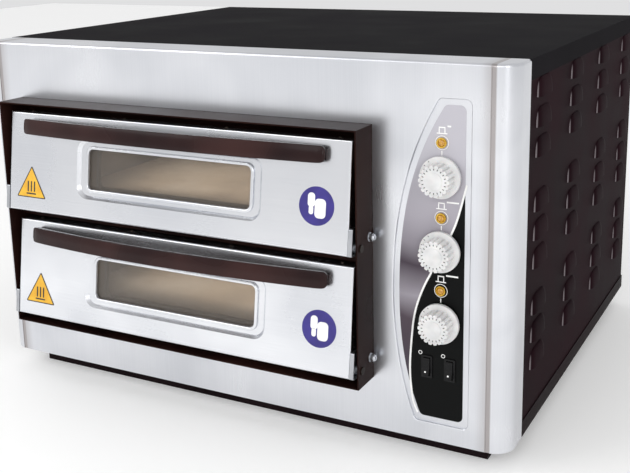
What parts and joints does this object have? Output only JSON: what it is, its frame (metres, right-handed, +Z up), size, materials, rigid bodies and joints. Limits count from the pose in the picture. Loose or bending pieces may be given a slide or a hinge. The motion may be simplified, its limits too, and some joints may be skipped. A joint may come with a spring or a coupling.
{
  "type": "countertop pizza oven",
  "caption": "Twin-deck electric pizza oven: drop-down leaning doors with windows and bowed handles, baking stones, dial thermostats and rocker switches.",
  "frame": {"origin": "centre of the overall footprint, on the surface that the plinth stands on", "axes": "+X to the right of a person facing the doors, +Y from the doors to the back, +Z up"},
  "size_m": [0.909, 0.8392, 0.57],
  "materials": {
    "brushed_stainless": "brushed",
    "plain_steel": "satin",
    "black_powder_coat": "fine texture",
    "black_enamel": "semi gloss",
    "chamber_steel": "heat tinted",
    "fired_clay": "rough",
    "clear_glass": "polished",
    "amber_lens": "clear",
    "white_plastic": "satin",
    "dark_bakelite": "satin",
    "printed_film": "satin",
    "black_plastic": "satin",
    "heater_sheath": "oxidised",
    "mineral_wool": "loose fibre",
    "glass_fibre": "woven",
    "bright_zinc": "plated",
    "thermostat_case": "plain",
    "yellow_label": "printed",
    "blue_label": "printed"
  },
  "bodies": {
    "cabinet": {"base_pan": "black_powder_coat", "base_plinth": "black_powder_coat", "cable_gland": "black_plastic", "casing_screws": "bright_zinc", "chamber_lower": "chamber_steel", "chamber_upper": "chamber_steel", "control_film": "printed_film", "door_frame": "black_enamel", "front_fascia": "brushed_stainless", "heater_bank_bottom": "heater_sheath", "heater_bank_middle": "heater_sheath", "heater_bank_top": "heater_sheath", "hinge_pins": "bright_zinc", "hinge_plates": "plain_steel", "indicator_lamps": "amber_lens", "insulation_blankets": "mineral_wool", "mouth_collar_lower": "black_enamel", "mouth_collar_upper": "black_enamel", "oven_lamp_domes": "clear_glass", "oven_lamp_holders": "thermostat_case", "rear_panel": "black_powder_coat", "side_panel_left": "black_powder_coat", "side_panel_right": "black_powder_coat", "stone_lower": "fired_clay", "stone_upper": "fired_clay", "stop_bolts": "bright_zinc", "switch_housings": "black_plastic", "terminal_block": "white_plastic", "thermostat_bottom": "thermostat_case", "thermostat_middle": "thermostat_case", "thermostat_top": "thermostat_case", "top_cover": "black_powder_coat"},
    "upper_door": {"upper_door_cheeks": "plain_steel", "upper_door_gasket": "glass_fibre", "upper_door_glass": "clear_glass", "upper_door_handle": "dark_bakelite", "upper_door_handle_feet": "dark_bakelite", "upper_door_inner_pan": "plain_steel", "upper_door_round_label": "blue_label", "upper_door_screws": "bright_zinc", "upper_door_skin": "brushed_stainless", "upper_door_triangle_label": "yellow_label"},
    "lower_door": {"lower_door_cheeks": "plain_steel", "lower_door_gasket": "glass_fibre", "lower_door_glass": "clear_glass", "lower_door_handle": "dark_bakelite", "lower_door_handle_feet": "dark_bakelite", "lower_door_inner_pan": "plain_steel", "lower_door_round_label": "blue_label", "lower_door_screws": "bright_zinc", "lower_door_skin": "brushed_stainless", "lower_door_triangle_label": "yellow_label"},
    "dial_top": {"knob_top": "white_plastic", "shaft_top": "bright_zinc"},
    "dial_middle": {"knob_middle": "white_plastic", "shaft_middle": "bright_zinc"},
    "dial_bottom": {"knob_bottom": "white_plastic", "shaft_bottom": "bright_zinc"},
    "switch_left": {"rocker_left": "black_plastic"},
    "switch_right": {"rocker_right": "black_plastic"}
  },
  "joints": [
    {"name": "upper_door_hinge", "type": "hinge", "parent": "cabinet", "child": "upper_door", "pos_m": [-0.0645, -0.37668, 0.31601], "axis": [1, 0, 0], "range_deg": [0, 96]},
    {"name": "lower_door_hinge", "type": "hinge", "parent": "cabinet", "child": "lower_door", "pos_m": [-0.0645, -0.37668, 0.13801], "axis": [1, 0, 0], "range_deg": [0, 96]},
    {"name": "dial_top_turn", "type": "hinge", "parent": "cabinet", "child": "dial_top", "pos_m": [0.35, -0.33891, 0.417], "axis": [0, 1, 0], "range_deg": [0, 300]},
    {"name": "dial_middle_turn", "type": "hinge", "parent": "cabinet", "child": "dial_middle", "pos_m": [0.35, -0.33891, 0.3144], "axis": [0, 1, 0], "range_deg": [0, 300]},
    {"name": "dial_bottom_turn", "type": "hinge", "parent": "cabinet", "child": "dial_bottom", "pos_m": [0.35, -0.33891, 0.2118], "axis": [0, 1, 0], "range_deg": [0, 300]},
    {"name": "switch_left_rock", "type": "hinge", "parent": "cabinet", "child": "switch_left", "pos_m": [0.3305, -0.33441, 0.144], "axis": [1, 0, 0], "range_deg": [0, 20]},
    {"name": "switch_right_rock", "type": "hinge", "parent": "cabinet", "child": "switch_right", "pos_m": [0.364, -0.33441, 0.144], "axis": [1, 0, 0], "range_deg": [0, 20]}
  ]
}
